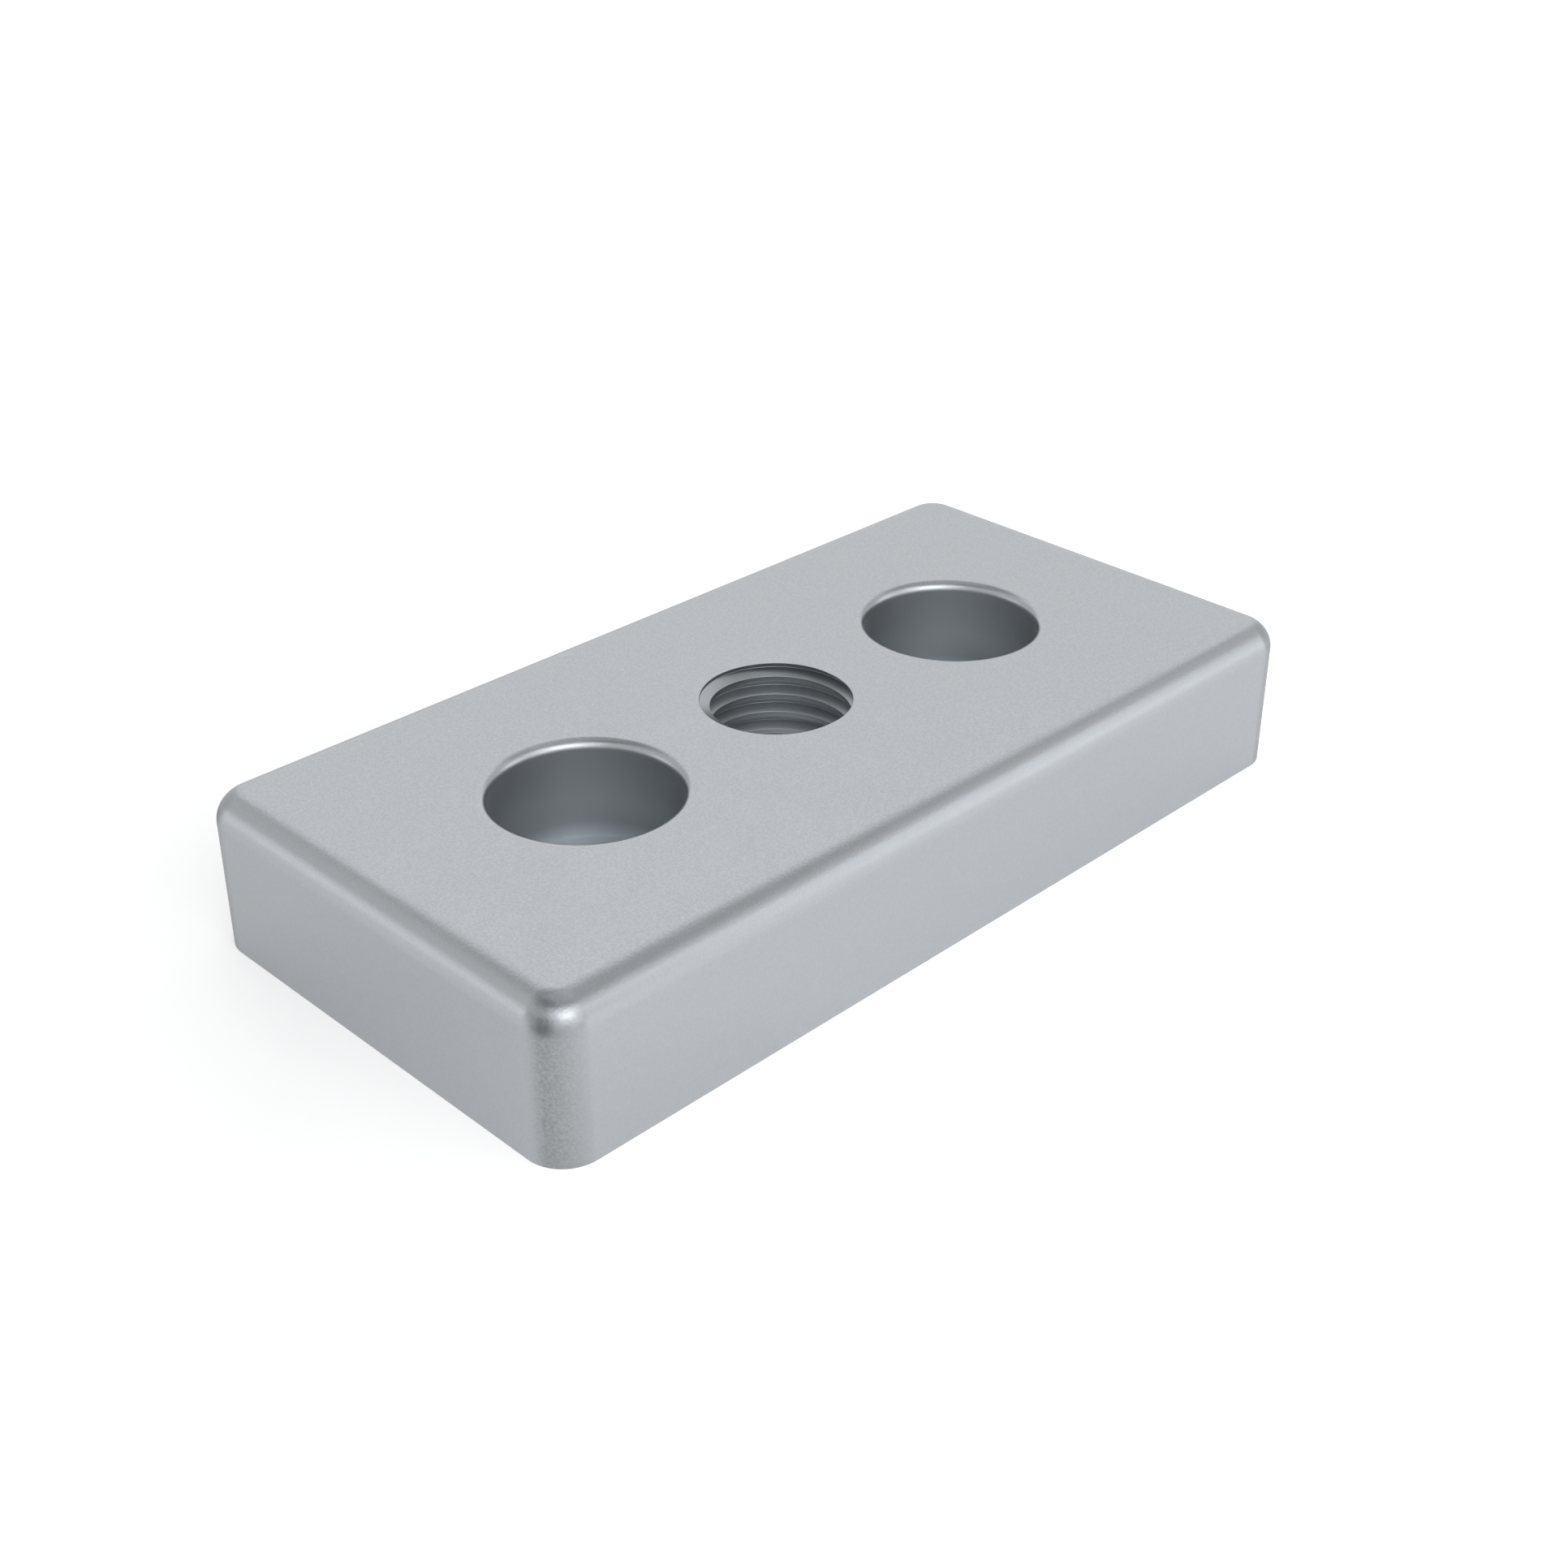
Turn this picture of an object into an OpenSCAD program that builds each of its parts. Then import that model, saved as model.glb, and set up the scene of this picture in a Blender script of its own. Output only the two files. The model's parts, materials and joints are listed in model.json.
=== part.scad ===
/* [Plate] */
// Length of the plate
plate_length = 100; // [80:1:200]
// Width of the plate
plate_width = 50; // [34:1:100]
// Thickness of the plate
plate_thickness = 16; // [14:0.5:30]
// Radius of the four upright corners
corner_radius = 4; // [3:0.5:12]
// Radius of the rounded edge that runs round the top face
top_edge_radius = 3; // [0.5:0.5:4]

/* [Foot thread] */
// Nominal diameter of the metric thread that takes the machine's foot
thread_diameter = 16; // [8:1:24]
// Pitch of that thread
thread_pitch = 2; // [1:0.25:3]

/* [Fixing screws] */
// Distance between the two cap screws, the same as between the core bores of the profile
screw_spacing = 50; // [38:1:72]
// Nominal diameter of the cap screws
screw_diameter = 10; // [5:1:12]
// Diameter of a cap screw's head
screw_head_diameter = 16; // [14:0.5:20]
// Height of a cap screw's head
screw_head_height = 10; // [5:0.5:12]
// Gap between a screw's shank and its hole
shank_clearance = 0.5; // [0.1:0.1:1]
// Gap between a screw's head and the wall of its recess
head_clearance = 1; // [0.2:0.1:2]
// Depth of a screw's head below the top face
head_sink = 0.5; // [0:0.1:2]
// Radius of the rounded lip at the mouth of each recess
recess_lip_radius = 1; // [0.2:0.1:2]

/* [Hidden] */
$fn = 96;
// How far each cut runs past the face that it opens
overcut = 1;
// The plate is tapped, so its bore has the thread's inner diameter
tapping_radius = (thread_diameter - thread_pitch) / 2;
shank_hole_radius = screw_diameter / 2 + shank_clearance;
recess_radius = screw_head_diameter / 2 + head_clearance;
recess_depth = screw_head_height + head_sink;
recess_floor = plate_thickness - recess_depth;

// Right half of a section through the plate, sharp at the foot and rounded at the top
module edge_section(half_width) {
    difference() {
        square([half_width, plate_thickness]);
        translate([half_width - top_edge_radius, plate_thickness - top_edge_radius])
            difference() {
                square(top_edge_radius + overcut);
                circle(top_edge_radius);
            }
    }
}

// Whole section through the plate
module plate_section(width) {
    edge_section(width / 2);
    mirror([1, 0])
        edge_section(width / 2);
}

// Straight length of plate along X, with its two long edges rounded
module straight_run(length, width) {
    rotate([90, 0, 90])
        linear_extrude(length, center = true)
            plate_section(width);
}

// Upright corner, turned to the same section as the straight edges
module corner_post() {
    rotate_extrude()
        edge_section(corner_radius);
}

// Plate before it is drilled: two crossing runs, filled out at the corners
module blank() {
    straight_run(plate_length - 2 * corner_radius, plate_width);
    rotate([0, 0, 90])
        straight_run(plate_width - 2 * corner_radius, plate_length);
    for (x = [-1, 1], y = [-1, 1])
        translate([x * (plate_length / 2 - corner_radius), y * (plate_width / 2 - corner_radius), 0])
            corner_post();
}

// Half section of a recess: a flat floor, a straight wall and a rounded lip
module recess_section() {
    square([recess_radius, recess_depth + overcut]);
    translate([0, recess_depth - recess_lip_radius])
        difference() {
            square([recess_radius + recess_lip_radius, recess_lip_radius + overcut]);
            translate([recess_radius + recess_lip_radius, 0])
                circle(recess_lip_radius);
        }
}

// Stepped hole for one cap screw
module screw_hole() {
    translate([0, 0, -overcut])
        cylinder(r = shank_hole_radius, h = recess_floor + 2 * overcut);
    translate([0, 0, recess_floor])
        rotate_extrude()
            recess_section();
}

// Bore in the middle that carries the foot's thread
module foot_bore() {
    translate([0, 0, -overcut])
        cylinder(r = tapping_radius, h = plate_thickness + 2 * overcut);
}

module base_plate() {
    color([0.74, 0.75, 0.77])
        difference() {
            blank();
            foot_bore();
            for (side = [-1, 1])
                translate([side * screw_spacing / 2, 0, 0])
                    screw_hole();
        }
}

base_plate();
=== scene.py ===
"""Looks of the base plate: one closed mesh with a cut thread, in satin metal on a white floor."""

import json
import math

import bpy
import numpy as np
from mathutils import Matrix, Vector
from mathutils.geometry import delaunay_2d_cdt


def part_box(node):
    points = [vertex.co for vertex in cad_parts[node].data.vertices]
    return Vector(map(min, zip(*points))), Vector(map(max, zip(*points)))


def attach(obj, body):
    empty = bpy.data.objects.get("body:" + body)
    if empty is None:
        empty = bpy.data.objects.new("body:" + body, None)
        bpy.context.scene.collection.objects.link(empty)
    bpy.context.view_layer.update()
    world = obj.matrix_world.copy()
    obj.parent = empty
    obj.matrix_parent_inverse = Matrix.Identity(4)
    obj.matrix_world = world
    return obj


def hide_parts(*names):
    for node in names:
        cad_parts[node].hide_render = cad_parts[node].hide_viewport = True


MM = 0.001

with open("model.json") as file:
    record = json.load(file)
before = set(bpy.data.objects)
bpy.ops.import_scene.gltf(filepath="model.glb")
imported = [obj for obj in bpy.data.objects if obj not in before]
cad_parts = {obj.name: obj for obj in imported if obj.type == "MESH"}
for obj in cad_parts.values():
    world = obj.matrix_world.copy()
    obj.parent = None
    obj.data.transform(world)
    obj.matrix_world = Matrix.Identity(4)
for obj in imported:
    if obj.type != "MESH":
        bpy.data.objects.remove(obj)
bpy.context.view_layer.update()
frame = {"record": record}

# Sizes and places that the frame gives
MOUNTS = {mount["name"]: mount for mount in frame["record"]["mounts"]}
RECESSES = [MOUNTS["screw_recess_left"], MOUNTS["screw_recess_right"]]
LOW, HIGH = (np.array(corner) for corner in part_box("base_plate"))
LENGTH, WIDTH, THICKNESS = HIGH - LOW
RECESS_R = RECESSES[0]["dims"]["r_mm"] * MM
RECESS_WALL = RECESSES[0]["dims"]["length_mm"] * MM
SHANK_R = MOUNTS["profile_screws"]["dims"]["hole_r_mm"] * MM
THREAD_MINOR_R = MOUNTS["foot_thread"]["dims"]["r_mm"] * MM

# Rounded edges of the plate
CORNER_R = 4 * MM
TOP_EDGE_R = 3 * MM
LIP_R = 1 * MM
RECESS_FLOOR = THICKNESS - LIP_R - RECESS_WALL

# The foot's thread: M16, right-handed, with its groove's middle at ROOT_AT on the top face
PITCH = 2 * MM
THREAD_MAJOR_R = THREAD_MINOR_R + PITCH / 2
CREST_FLAT = PITCH / 4
FLANK_ANGLE = math.radians(30)
ROOT_AT = math.radians(135)
THREAD_ROUND = 0.04 * MM
MOUTH_BREAK = 0.08 * MM

# Fineness of the mesh
CORNER_STEPS = 24
EDGE_STEPS = 20
LIP_STEPS = 12
HOLE_STEPS = 180
THREAD_STEPS = 360
ROUND_STEPS = 3
MOUTH_STEPS = 4
WELD = 1e-9

# The plate's finishes, by their places in its list of materials
OUTSIDE = 0
BORED = 1
TAPPED = 2

# The satin finish: its grain, its specks of colour, which show most on the top face, and the clouds
# in its gloss
GRAIN_SIZE = 0.25 * MM
OUTSIDE_GRAIN = 0.012 * MM
INSIDE_GRAIN = 0.004 * MM
SPECK_SIZE = 0.22 * MM
SPECKS_ON_SIDES = 1.1
SPECKS_ON_TOP = 3.4
SPECKS_FADE = 0.5 * MM
CLOUD_SIZE = 5 * MM
CLOUD_ROUGHNESS = 0.1
OUTSIDE_ROUGHNESS = 0.30
NOISE_LOW = 0.3
NOISE_MIDDLE = 0.5
NOISE_HIGH = 0.7
COOL_METAL = (0.391, 0.420, 0.440, 1)
WARM_METAL = (0.459, 0.466, 0.486, 1)

# The tint of the metal's reflections where they graze it, which darkens its outlines
GRAZING_TINT = (0.7, 0.7, 0.7, 1)

# The metal in the bores: where the smoother lip ends, and how the colour changes with depth, with painted
# shade at the mouths and a painted glow at the foot of the recess walls
BORED_ROUGHNESS = 0.51
TAPPED_ROUGHNESS = 0.38
LIP_FROM = THICKNESS - 0.55 * LIP_R
LIP_END = THICKNESS - 0.95 * LIP_R
# Painted shade: the darker colour at the mouths of the bores and the thread
PAINTED_MOUTH_SHADE = (0.350, 0.373, 0.390, 1)
BORED_METAL = (0.430, 0.453, 0.470, 1)
BORED_DEPTHS = THICKNESS - LIP_R, THICKNESS - 6 * MM
# Painted glow: the paler colour at the foot of the recess walls and below, which stands in for light
# reflected there
PAINTED_GLOW_METAL = (0.64, 0.67, 0.70, 1)
PAINTED_GLOW_DEPTHS = THICKNESS - 8.7 * MM, RECESS_FLOOR
THREAD_METAL = (0.49, 0.52, 0.54, 1)
THREAD_DEPTHS = THICKNESS - 0.8 * MM, THICKNESS - 2 * MM

# Painted shade on the upright corners: they are painted darker than the sides, with the grain showing
# more, most of all beside the short sides, with a painted dark ring where they meet the rounded top edge;
# both stand in for dark reflections, and their shades run from long side to short side
# Painted shade: the corners' darker metal, between a dark and a pale tone by the grain
DARK_PAINTED_CORNER = (0.245, 0.268, 0.279, 1)
PALE_PAINTED_CORNER = (0.339, 0.341, 0.352, 1)
PAINTED_CORNER_SHADES = [(0, 0), (0.05, 0.2), (0.15, 0.4), (0.45, 0.82), (0.6, 1), (0.7, 1)]
PAINTED_CORNER_SHADES += [(0.8, 0.62), (0.9, 0.2), (1, 0)]
CORNER_BLEND = 0.1 * CORNER_R
CORNER_TOP_FULL = THICKNESS - 1.5 * MM
CORNER_TOP_END = THICKNESS - 0.3 * MM
CORNER_FOOT = 0.05 * MM
# Painted shade: the near-black ring below the rounded top edge, where it lies on the corners and at what
# height
PAINTED_RING_SHADE = (0.145, 0.153, 0.160, 1)
PAINTED_RING_SHADES = [(0, 0), (0.1, 0.45), (0.45, 0.5), (0.6, 1), (0.7, 1)]
PAINTED_RING_SHADES += [(0.8, 0.75), (0.88, 0.3), (0.95, 0)]
PAINTED_RING_AT = THICKNESS - TOP_EDGE_R + 0.75 * MM
PAINTED_RING_REACH = 1.2 * MM

# The floor: its half width, its white, and the lift that makes it look white; the lift is also painted
# light, which grows from left to right so that the long side reflects a brighter floor than the short
# side, and, behind the lamps, where they leave the floor unlit, from near to far
FLOOR_REACH = 3
FLOOR_WHITE = 0.65
FLOOR_LIFT = 0.44, 0.62
LIFT_ACROSS = -0.06, 0.01
FAR_LIFT = 0.40, 0.85
LIFT_AWAY = 0.65, 0.90

# The camera, at the photograph's viewing angle
EYE = Vector((-132.83, -133.264, 114.885)) * MM
AIM = Vector((0.19, -0.18, 6.29)) * MM
FOCAL_LENGTH = 50
SENSOR_WIDTH = 36

# Softboxes round the plate: azimuth, elevation, width and height in degrees, radiance, colour
LAMP_DISTANCE = 0.8
SOFTBOXES = {
    "key": (-109, 33, 30, 26, 1.50, (0.94, 0.98, 1.0)),
    "front": (-108, 33, 70, 58, 0.78, (1, 1, 1)),
    "right": (-45, 17, 28, 32, 0.71, (0.96, 1.0, 1.0)),
    "back": (45, 30, 64, 54, 0.41, (1, 1, 1)),
    "low back": (45, 14, 70, 18, 0.13, (1, 1, 1)),
    "left": (138, 12, 30, 20, 0.46, (1, 1, 1)),
    "top": (0, 85, 40, 40, 0.59, (0.94, 0.98, 1.0)),
}

# The studio's pale surroundings: how bright they are at each elevation in degrees
SURROUNDINGS = [(0, 1.0), (20, 0.73), (40, 0.90), (60, 0.39), (90, 0.02)]


class Skin:
    """Patches of faces with a normal at each corner, welded at the end into one closed mesh."""

    def __init__(self):
        self.points = []
        self.normals = []
        self.faces = []
        self.finishes = []
        self.finish = OUTSIDE
        self.count = 0

    def patch(self, points, normals, faces):
        """Adds faces that index the points, turned to face the way their normals point."""
        points = np.asarray(points, float)
        normals = np.asarray(normals, float)
        faces = np.asarray(faces)
        a, b, c = (points[faces[:, i]] for i in range(3))
        d = points[faces[:, -1]]
        across = np.cross(c - a, d - b) if faces.shape[1] == 4 else np.cross(b - a, c - a)
        backward = np.einsum("ij,ij->i", across, normals[faces].mean(axis=1)) < 0
        faces[backward] = faces[backward][:, ::-1]
        self.faces += (faces + self.count).tolist()
        self.finishes += [self.finish] * len(faces)
        self.points.append(points)
        self.normals.append(normals)
        self.count += len(points)

    def grid(self, points, normals, closed=True):
        """Adds the quads of a grid of rows, where each row may close on itself."""
        rows, steps = points.shape[:2]
        here = np.arange(steps if closed else steps - 1)
        there = (here + 1) % steps
        low = (np.arange(rows - 1) * steps)[:, None]
        quads = np.stack([low + here, low + there, low + steps + there, low + steps + here], axis=-1)
        self.patch(points.reshape(-1, 3), normals.reshape(-1, 3), quads.reshape(-1, 4))

    def flat(self, height, up, loops):
        """Adds the flat face between the first loop and the holes that the others cut in it."""
        points = np.concatenate(loops)
        whole = list(range(len(loops[0])))
        edges = []
        start = len(whole)
        for loop in loops[1:]:
            count = len(loop)
            edges += [(start + i, start + (i + 1) % count) for i in range(count)]
            start += count
        found = delaunay_2d_cdt([Vector(p) for p in points / MM], edges, [whole], 2, 1e-6)
        triangles, sources = found[2], found[3]
        faces = [[sources[i][0] for i in triangle] for triangle in triangles]
        at_height = np.c_[points, np.full(len(points), height)]
        self.patch(at_height, np.tile([0, 0, up], (len(points), 1)), faces)

    def mesh(self, name):
        """The welded mesh, with the collected normals at its faces' corners."""
        points = np.concatenate(self.points)
        normals = np.concatenate(self.normals)
        keys = np.round(points / WELD).astype(np.int64)
        _, first, weld = np.unique(keys, axis=0, return_index=True, return_inverse=True)
        weld = weld.ravel()
        faces = []
        finishes = []
        corners = []
        for face, finish in zip(self.faces, self.finishes):
            kept = [i for n, i in enumerate(face) if weld[i] != weld[face[n - 1]]]
            if len(kept) > 2:
                faces.append([int(weld[i]) for i in kept])
                finishes.append(finish)
                corners += kept
        mesh = bpy.data.meshes.new(name)
        mesh.from_pydata(points[first].tolist(), [], faces)
        mesh.polygons.foreach_set("material_index", finishes)
        mesh.shade_smooth()
        mesh.normals_split_custom_set(normals[corners].tolist())
        return mesh


def outline(inset):
    """The plate's outline moved inwards, with its outward directions."""
    turn = np.linspace(0, math.pi / 2, CORNER_STEPS + 1)
    points = []
    directions = []
    for quarter, (x, y) in enumerate([(1, 1), (-1, 1), (-1, -1), (1, -1)]):
        angles = turn + quarter * math.pi / 2
        out = np.c_[np.cos(angles), np.sin(angles)]
        centre = np.array([x * (LENGTH / 2 - CORNER_R), y * (WIDTH / 2 - CORNER_R)])
        points.append(centre + (CORNER_R - inset) * out)
        directions.append(out)
    return np.concatenate(points), np.concatenate(directions)


def add_outside(skin):
    """The four sides and the rounded edge round the top face."""
    rows = [(0, 0, 0)]
    for angle in np.linspace(0, math.pi / 2, EDGE_STEPS + 1):
        inset = TOP_EDGE_R * (1 - math.cos(angle))
        rows.append((inset, THICKNESS - TOP_EDGE_R * (1 - math.sin(angle)), angle))
    points = []
    normals = []
    for inset, height, angle in rows:
        ring, out = outline(inset)
        points.append(np.c_[ring, np.full(len(ring), height)])
        normals.append(np.c_[out * math.cos(angle), np.full(len(ring), math.sin(angle))])
    skin.grid(np.array(points), np.array(normals))


def turned(centre_x, section):
    """Points and normals of a section turned about a hole's axis.

    Each row of the section is a radius, a height, a radial normal and an upright normal.
    """
    angles = np.arange(HOLE_STEPS) * 2 * math.pi / HOLE_STEPS
    round_x, round_y = np.cos(angles), np.sin(angles)
    points = []
    normals = []
    for radius, height, radial, upright in section:
        points.append(np.c_[centre_x + radius * round_x, radius * round_y, np.full(HOLE_STEPS, height)])
        normals.append(np.c_[radial * round_x, radial * round_y, np.full(HOLE_STEPS, upright)])
    return np.array(points), np.array(normals)


def add_screw_hole(skin, centre_x):
    """Adds a recess with a rounded lip and the narrower hole under it. Returns the two mouths."""
    lip = []
    for angle in np.linspace(math.pi / 2, 0, LIP_STEPS + 1):
        out, up = math.cos(angle), math.sin(angle)
        lip.append((RECESS_R + LIP_R * (1 - out), THICKNESS - LIP_R * (1 - up), -out, up))
    wall = [(RECESS_R, THICKNESS - LIP_R, -1, 0), (RECESS_R, RECESS_FLOOR, -1, 0)]
    floor = [(RECESS_R, RECESS_FLOOR, 0, 1), (SHANK_R, RECESS_FLOOR, 0, 1)]
    shank = [(SHANK_R, RECESS_FLOOR, -1, 0), (SHANK_R, 0, -1, 0)]
    skin.finish = BORED
    for section in (lip, wall, floor, shank):
        skin.grid(*turned(centre_x, section))
    mouth, foot = (turned(centre_x, part)[0][0][:, :2] for part in (lip[:1], shank[1:]))
    return mouth, foot


def thread_section():
    """One pitch of the groove, from crest to crest: heights from its middle, radii and normals."""
    depth = THREAD_MAJOR_R - THREAD_MINOR_R
    crest = (PITCH - CREST_FLAT) / 2
    root = crest - depth * math.tan(FLANK_ANGLE)
    tilt = math.pi / 2 - FLANK_ANGLE
    # each corner of the section: its height, its radius, and the tilt of the wall before and after it
    corners = [(-crest, THREAD_MINOR_R, 0, tilt), (-root, THREAD_MAJOR_R, tilt, 0)]
    corners += [(root, THREAD_MAJOR_R, 0, -tilt), (crest, THREAD_MINOR_R, -tilt, 0)]
    section = []
    for height, radius, before, after in corners:
        side = 1 if radius == THREAD_MINOR_R else -1
        reach = side * THREAD_ROUND / math.cos((after - before) / 2)
        middle = (before + after) / 2
        centre_radius = radius + reach * math.cos(middle)
        centre_height = height - reach * math.sin(middle)
        for lean in np.linspace(before, after, ROUND_STEPS + 1):
            radial, upright = -math.cos(lean), math.sin(lean)
            at_height = centre_height + side * THREAD_ROUND * upright
            at_radius = centre_radius + side * THREAD_ROUND * radial
            section.append((at_height, at_radius, radial, upright))
    return np.array(section)


class Thread:
    """The tapped hole as a surface: for each angle round it, how the wall runs with height."""

    def __init__(self):
        self.angles = np.linspace(0, 2 * math.pi, THREAD_STEPS + 1)
        self.climb = PITCH / (2 * math.pi)
        # height of the groove's middle at each angle, for the groove that leaves by the top face
        self.groove = THICKNESS + self.climb * (self.angles - ROOT_AT)
        turns = range(-math.ceil(THICKNESS / PITCH) - 1, 2)
        section = thread_section()
        self.rows = np.concatenate([section + [PITCH * turn, 0, 0, 0] for turn in turns])

    def wall(self, heights):
        """Radius, radial normal and upright normal of the wall at one height for each angle."""
        return [np.interp(heights - self.groove, self.rows[:, 0], self.rows[:, i]) for i in (1, 2, 3)]

    def ring(self, radii, heights):
        """Points at a radius and a height for each angle."""
        return np.stack([radii * np.cos(self.angles), radii * np.sin(self.angles), heights], axis=-1)

    def facing(self, radii, radial, upright, lean=1):
        """Normals of the wall, which lean along the turn because it climbs."""
        along = -lean * upright * self.climb / radii
        across = radial * np.cos(self.angles) - along * np.sin(self.angles)
        ahead = radial * np.sin(self.angles) + along * np.cos(self.angles)
        normals = np.stack([across, ahead, upright], axis=-1)
        return normals / np.linalg.norm(normals, axis=-1, keepdims=True)

    def mouth(self, face, up):
        """The rounded edge where the wall meets a flat face: its first heights, points and normals."""
        level = np.full(len(self.angles), float(face))
        corner_r, radial, _ = self.wall(level)
        start = level + up * MOUTH_BREAK * radial
        start_r = self.wall(start)[0]
        points = []
        normals = []
        for t in np.linspace(0, 1, MOUTH_STEPS + 1):
            ways = (1 - t) ** 2, 2 * t * (1 - t), t**2
            radii = ways[0] * start_r + ways[1] * corner_r + ways[2] * (corner_r + MOUTH_BREAK)
            heights = ways[0] * start + (ways[1] + ways[2]) * level
            run = (1 - t) * (corner_r - start_r) + t * MOUTH_BREAK
            rise = (1 - t) * up * (level - start)
            length = np.hypot(run, rise)
            points.append(self.ring(radii, heights))
            normals.append(self.facing(radii, -rise / length, up * run / length, 1 - t))
        return start, np.array(points), np.array(normals)

    def add(self, skin):
        """Adds the wall and the edges of its two mouths. Returns the mouths."""
        top, *top_edge = self.mouth(THICKNESS, 1)
        foot, *foot_edge = self.mouth(0, -1)
        cuts = [(heights, self.wall(heights)) for heights in (foot, top)]
        points = []
        normals = []
        for height, radius, radial, upright in self.rows:
            heights = self.groove + height
            values = [np.full(len(heights), value) for value in (radius, radial, upright)]
            for (limit, cut), past in zip(cuts, (heights < foot, heights > top)):
                heights = np.where(past, limit, heights)
                values = [np.where(past, at_cut, value) for at_cut, value in zip(cut, values)]
            points.append(self.ring(values[0], heights))
            normals.append(self.facing(*values))
        skin.grid(np.array(points), np.array(normals), closed=False)
        skin.grid(*top_edge, closed=False)
        skin.grid(*foot_edge, closed=False)
        return [edge[0][-1][:-1, :2] for edge in (top_edge, foot_edge)]


def make_plate():
    """The whole plate as one piece, with one finish outside and others in its bores and its thread."""
    skin = Skin()
    add_outside(skin)
    skin.finish = TAPPED
    thread_mouth, thread_foot = Thread().add(skin)
    mouths = [thread_mouth]
    feet = [thread_foot]
    for recess in RECESSES:
        mouth, foot = add_screw_hole(skin, recess["pos_m"][0])
        mouths.append(mouth)
        feet.append(foot)
    skin.finish = OUTSIDE
    skin.flat(THICKNESS, 1, [outline(TOP_EDGE_R)[0]] + mouths)
    skin.flat(0, -1, [outline(0)[0]] + feet)
    made = bpy.data.objects.new("threaded_plate", skin.mesh("threaded_plate"))
    bpy.context.scene.collection.objects.link(made)
    return made


class Nodes:
    """The nodes of a material or of the world, made and linked by short calls."""

    def __init__(self, tree):
        self.tree = tree

    def put(self, socket, value):
        """Sets an input's value, or links an output to it."""
        if isinstance(value, bpy.types.NodeSocket):
            self.tree.links.new(value, socket)
        else:
            socket.default_value = value

    def add(self, kind, inputs=(), **settings):
        """Makes a node with its settings and its inputs, which are given in order or by name."""
        node = self.tree.nodes.new(kind)
        for name, value in settings.items():
            setattr(node, name, value)
        named = inputs.items() if isinstance(inputs, dict) else enumerate(inputs)
        for name, value in named:
            self.put(node.inputs[name], value)
        return node

    def maths(self, operation, *values):
        """The result of a sum or other operation on numbers."""
        return self.add("ShaderNodeMath", values, operation=operation).outputs[0]

    def parts(self, vector):
        """The X, Y and Z of a place or direction."""
        return self.add("ShaderNodeSeparateXYZ", [vector]).outputs

    def noise(self, place, size, detail):
        """A soft noise whose lumps are about this size."""
        inputs = {"Vector": place, "Scale": 1 / size, "Detail": detail}
        return self.add("ShaderNodeTexNoise", inputs).outputs["Fac"]

    def stretched(self, value, low, high, to_low=0.0, to_high=1.0, **settings):
        """A number that runs between two ends as the value runs between two others."""
        node = self.add("ShaderNodeMapRange", [value, low, high, to_low, to_high], **settings)
        return node.outputs["Result"]

    def mixed(self, factor, first, second):
        """The colour between two others."""
        inputs = {0: factor, 6: first, 7: second}
        return self.add("ShaderNodeMix", inputs, data_type="RGBA").outputs[2]

    def ramp(self, value, stops):
        """A grey that goes from level to level as the value passes each stop."""
        node = self.add("ShaderNodeValToRGB", [value])
        elements = node.color_ramp.elements
        while len(elements) < len(stops):
            elements.new(1)
        for element, (position, level) in zip(elements, stops):
            element.position = position
            element.color = (level, level, level, 1)
        return node.outputs["Color"]


def new_material(name):
    """An empty material with its nodes and the inputs of its surface shader."""
    material = bpy.data.materials.new(name)
    material.use_nodes = True
    return material, Nodes(material.node_tree), material.node_tree.nodes["Principled BSDF"].inputs


def in_painted_corner_shade(nodes, place, grain):
    """How far a point shows the painted shade of the upright corners and their painted dark ring, and the
    colour there.
    """
    x, y, z = nodes.parts(place)
    past_x = nodes.maths("SUBTRACT", nodes.maths("ABSOLUTE", x), LENGTH / 2 - CORNER_R)
    past_y = nodes.maths("SUBTRACT", nodes.maths("ABSOLUTE", y), WIDTH / 2 - CORNER_R)
    inside = nodes.stretched(nodes.maths("MINIMUM", past_x, past_y), 0, CORNER_BLEND)
    round_it = nodes.stretched(nodes.maths("SUBTRACT", past_x, past_y), -CORNER_R, CORNER_R)
    below = nodes.stretched(z, CORNER_TOP_FULL, CORNER_TOP_END, 1, 0)
    above = nodes.stretched(z, 0, CORNER_FOOT)
    # Painted shade: the dark ring's band in height round the corners
    from_painted_ring = nodes.maths("ABSOLUTE", nodes.maths("SUBTRACT", z, PAINTED_RING_AT))
    near_painted_ring = nodes.stretched(from_painted_ring, 0, PAINTED_RING_REACH, 1, 0, interpolation_type="SMOOTHSTEP")
    between = nodes.maths("MINIMUM", above, below)
    corner = nodes.maths("MULTIPLY", between, nodes.ramp(round_it, PAINTED_CORNER_SHADES))
    ring = nodes.maths("MULTIPLY", near_painted_ring, nodes.ramp(round_it, PAINTED_RING_SHADES))
    # Painted shade: darker metal on the upright corners
    painted_corner_colour = nodes.mixed(nodes.stretched(grain, NOISE_LOW, NOISE_HIGH), DARK_PAINTED_CORNER, PALE_PAINTED_CORNER)
    share = nodes.maths("MULTIPLY", inside, nodes.maths("MAXIMUM", corner, ring))
    # The painted dark ring is laid over the corners' painted shade
    return share, nodes.mixed(ring, painted_corner_colour, PAINTED_RING_SHADE)


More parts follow.
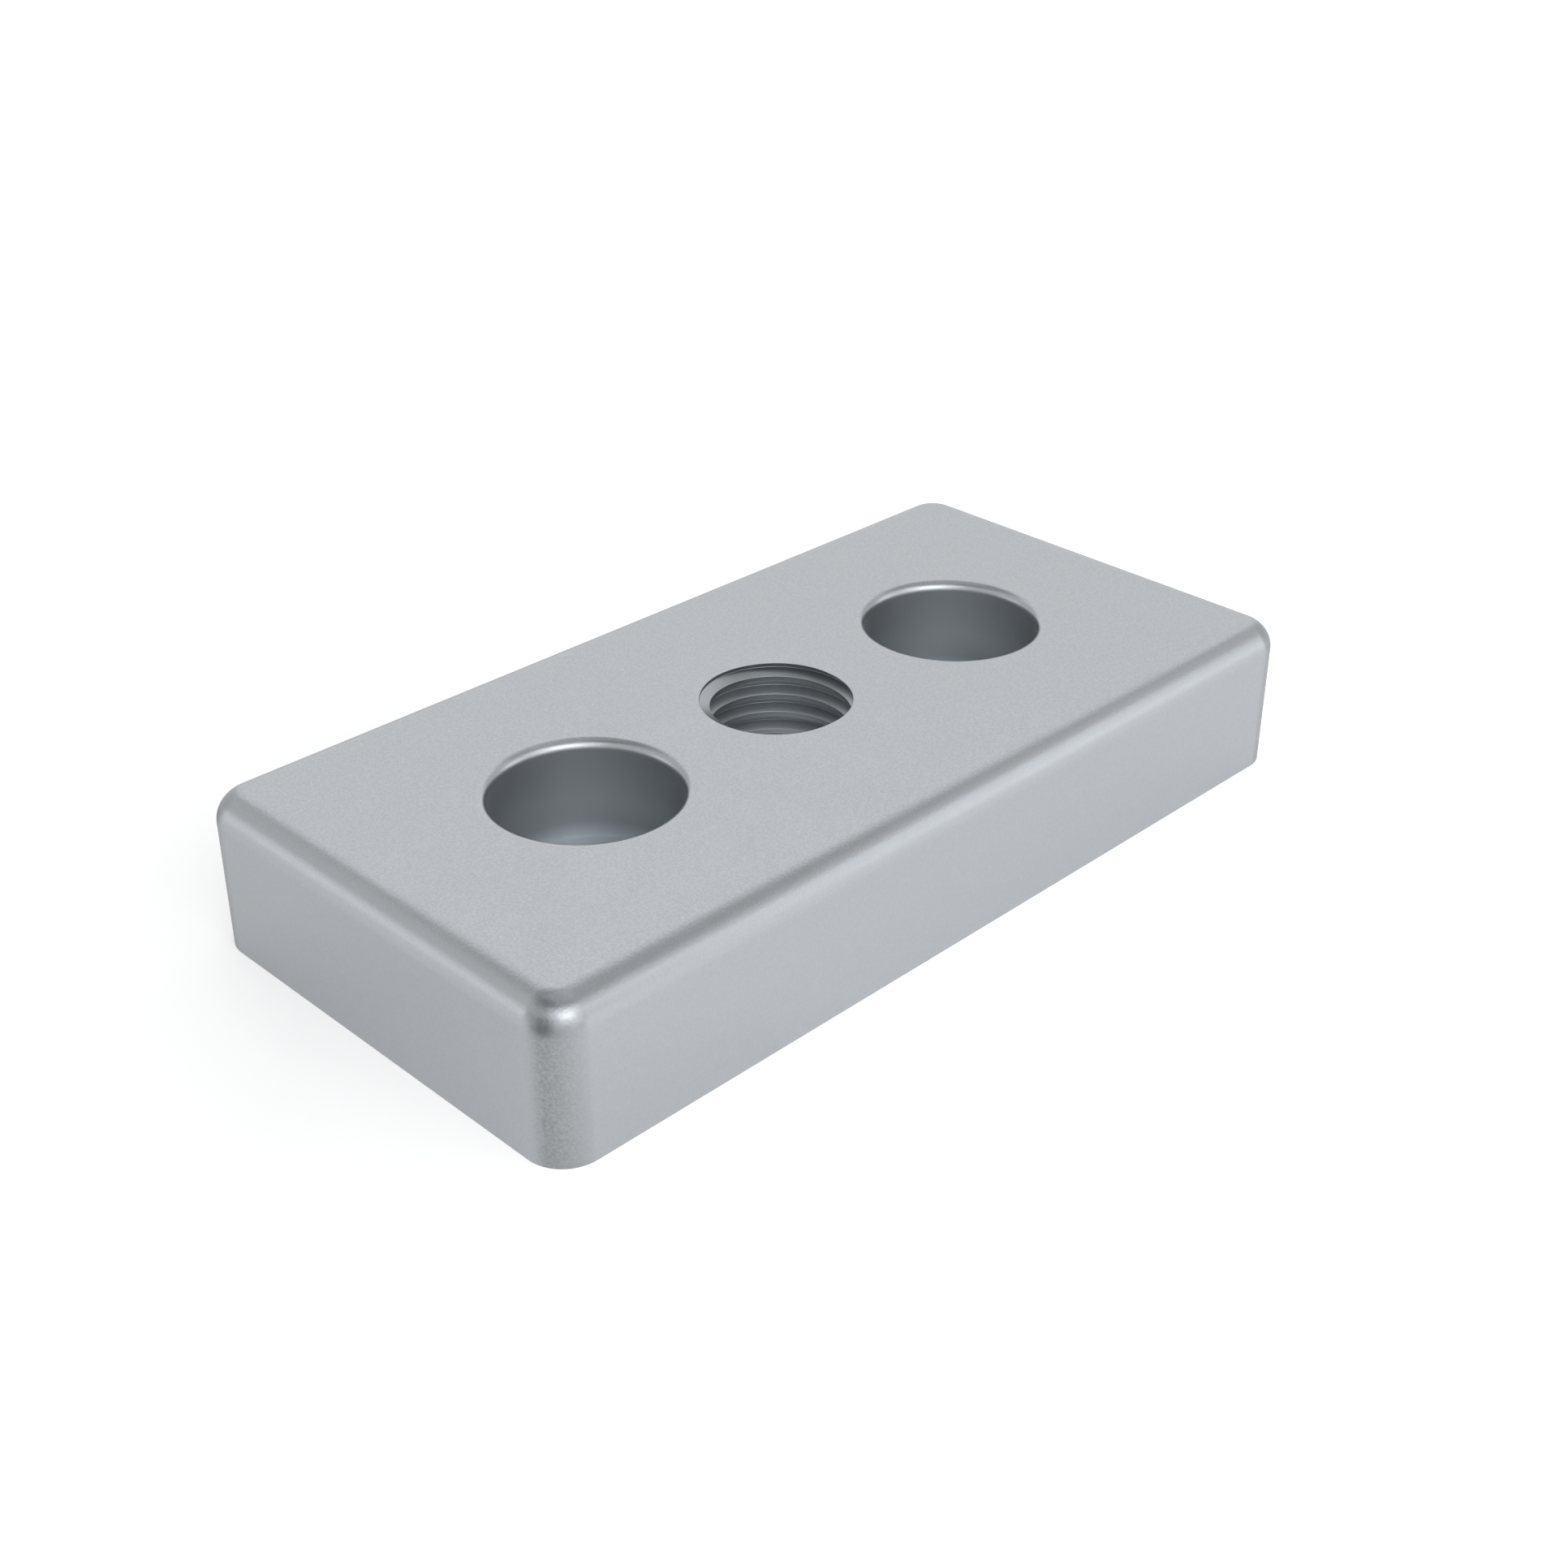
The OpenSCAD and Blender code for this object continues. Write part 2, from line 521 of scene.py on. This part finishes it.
def in_bores(nodes, place, grain):
    """How far a point lies under a bore's lip, and the colour there: painted darker at the mouth as
    painted shade, paler with depth, and paler still at the foot of the recess wall and below as a painted
    glow.
    """
    z = nodes.parts(place)["Z"]
    # Painted shade at the mouth, paler with depth
    colour = nodes.mixed(nodes.stretched(z, *BORED_DEPTHS), PAINTED_MOUTH_SHADE, BORED_METAL)
    # Painted glow at the foot of the recess wall and below
    colour = nodes.mixed(nodes.stretched(z, *PAINTED_GLOW_DEPTHS), colour, PAINTED_GLOW_METAL)
    return nodes.stretched(z, LIP_FROM, LIP_END), colour


def in_thread(nodes, place, grain):
    """The tapped hole's colour, which is painted darker at its mouth than further down as painted shade.
    """
    depth = nodes.stretched(nodes.parts(place)["Z"], *THREAD_DEPTHS)
    return 1.0, nodes.mixed(depth, PAINTED_MOUTH_SHADE, THREAD_METAL)


def metal(name, roughness, grain_height, elsewhere):
    """Satin metal with a fine grain, specks of colour and clouds in its gloss.

    The roughness goes from that of the outside to the given one where a bore's lip ends. The last value
    is a function that says where the metal takes on another colour, which paints shade on the upright
    corners, shade at the mouths of the bores and the thread, and a glow at the foot of the recesses.
    """
    material, nodes, shader = new_material(name)
    place = nodes.add("ShaderNodeTexCoord").outputs["Object"]
    z = nodes.parts(place)["Z"]
    grain = nodes.noise(place, GRAIN_SIZE, 1)
    speck = nodes.maths("SUBTRACT", nodes.noise(place, SPECK_SIZE, 1), NOISE_MIDDLE)
    cloud = nodes.maths("SUBTRACT", nodes.noise(place, CLOUD_SIZE, 3), NOISE_MIDDLE)
    specks = nodes.stretched(z, THICKNESS - SPECKS_FADE, THICKNESS, SPECKS_ON_SIDES, SPECKS_ON_TOP)
    colour = nodes.mixed(nodes.maths("MULTIPLY_ADD", speck, specks, 0.5), COOL_METAL, WARM_METAL)
    share, other_colour = elsewhere(nodes, place, grain)
    bump = nodes.add("ShaderNodeBump", {"Strength": 1.0, "Distance": grain_height, "Height": grain})
    past_lip = nodes.stretched(z, LIP_FROM, LIP_END, OUTSIDE_ROUGHNESS, roughness)
    nodes.put(shader["Normal"], bump.outputs["Normal"])
    nodes.put(shader["Roughness"], nodes.maths("MULTIPLY_ADD", cloud, CLOUD_ROUGHNESS, past_lip))
    nodes.put(shader["Base Color"], nodes.mixed(share, colour, other_colour))
    nodes.put(shader["Metallic"], 1.0)
    nodes.put(shader["Specular Tint"], GRAZING_TINT)
    return material


def seen_directly(nodes):
    """1 on rays from the camera and on those that metal or glass send on, and 0 on all others."""
    rays = nodes.add("ShaderNodeLightPath").outputs
    seen = rays["Is Camera Ray"]
    for name in ("Is Glossy Ray", "Is Transmission Ray"):
        seen = nodes.maths("MAXIMUM", seen, rays[name])
    return seen


def add_floor():
    """A white floor that is lifted to white where it is seen, with painted light that grows to the right
    and far off, and keeps the plate's shadow.
    """
    mesh = bpy.data.meshes.new("floor")
    corners = [(x * FLOOR_REACH, y * FLOOR_REACH, 0) for x, y in ((-1, -1), (1, -1), (1, 1), (-1, 1))]
    mesh.from_pydata(corners, [], [(0, 1, 2, 3)])
    floor = bpy.data.objects.new("floor", mesh)
    bpy.context.scene.collection.objects.link(floor)
    material, nodes, shader = new_material("white_floor")
    place = nodes.add("ShaderNodeTexCoord").outputs["Object"]
    x, y, _ = nodes.parts(place)
    away = nodes.add("ShaderNodeVectorMath", [place], operation="LENGTH").outputs["Value"]
    # Painted light: the lift grows from left to right and far off behind the lamps
    across = nodes.stretched(nodes.maths("SUBTRACT", x, y), *LIFT_ACROSS, *FLOOR_LIFT)
    lift = nodes.maths("MAXIMUM", across, nodes.stretched(away, *LIFT_AWAY, *FAR_LIFT))
    nodes.put(shader["Base Color"], (FLOOR_WHITE, FLOOR_WHITE, FLOOR_WHITE, 1))
    nodes.put(shader["Roughness"], 1.0)
    nodes.put(shader["Specular IOR Level"], 0.0)
    nodes.put(shader["Emission Color"], (1, 1, 1, 1))
    nodes.put(shader["Emission Strength"], nodes.maths("MULTIPLY", seen_directly(nodes), lift))
    floor.data.materials.append(material)


def add_camera():
    """Adds the camera and makes it the scene's own."""
    data = bpy.data.cameras.new("camera")
    data.lens = FOCAL_LENGTH
    data.sensor_width = SENSOR_WIDTH
    camera = bpy.data.objects.new("camera", data)
    camera.location = EYE
    camera.rotation_euler = (AIM - EYE).to_track_quat("-Z", "Y").to_euler()
    bpy.context.scene.collection.objects.link(camera)
    bpy.context.scene.camera = camera


def add_softbox(name, azimuth, elevation, width, height, radiance, colour):
    """A rectangular lamp that faces the plate and shows as wide and high as its angles say."""
    data = bpy.data.lights.new(name, "AREA")
    data.shape = "RECTANGLE"
    data.size = 2 * LAMP_DISTANCE * math.tan(math.radians(width / 2))
    data.size_y = 2 * LAMP_DISTANCE * math.tan(math.radians(height / 2))
    data.energy = radiance * math.pi * data.size * data.size_y
    data.color = colour
    lamp = bpy.data.objects.new(name, data)
    turn = math.radians(azimuth)
    rise = math.radians(elevation)
    towards = Vector((math.cos(rise) * math.cos(turn), math.cos(rise) * math.sin(turn), math.sin(rise)))
    lamp.location = towards * LAMP_DISTANCE
    lamp.rotation_euler = (-towards).to_track_quat("-Z", "Y").to_euler()
    lamp.visible_camera = False
    bpy.context.scene.collection.objects.link(lamp)


def add_surroundings():
    """A world that is white at the horizon and darker overhead."""
    world = bpy.data.worlds.new("studio")
    bpy.context.scene.world = world
    world.use_nodes = True
    nodes = Nodes(world.node_tree)
    direction = nodes.add("ShaderNodeTexCoord").outputs["Generated"]
    stops = [(math.sin(math.radians(elevation)), level) for elevation, level in SURROUNDINGS]
    level = nodes.ramp(nodes.parts(direction)["Z"], stops)
    nodes.put(world.node_tree.nodes["Background"].inputs["Color"], level)


plate = make_plate()
# The outside's colour holds the painted shade and painted dark ring of the upright corners
plate.data.materials.append(metal("satin_aluminium", OUTSIDE_ROUGHNESS, OUTSIDE_GRAIN, in_painted_corner_shade))
# The bores' colour holds painted shade at their mouths and a painted glow at the recesses' feet
plate.data.materials.append(metal("bored_aluminium", BORED_ROUGHNESS, INSIDE_GRAIN, in_bores))
# The thread's colour holds painted shade at its mouth
plate.data.materials.append(metal("tapped_aluminium", TAPPED_ROUGHNESS, INSIDE_GRAIN, in_thread))
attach(plate, "root")
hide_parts("base_plate")

add_floor()
add_camera()
for lamp_name, values in SOFTBOXES.items():
    add_softbox(lamp_name, *values)
add_surroundings()

bpy.context.scene.view_settings.view_transform = "Standard"
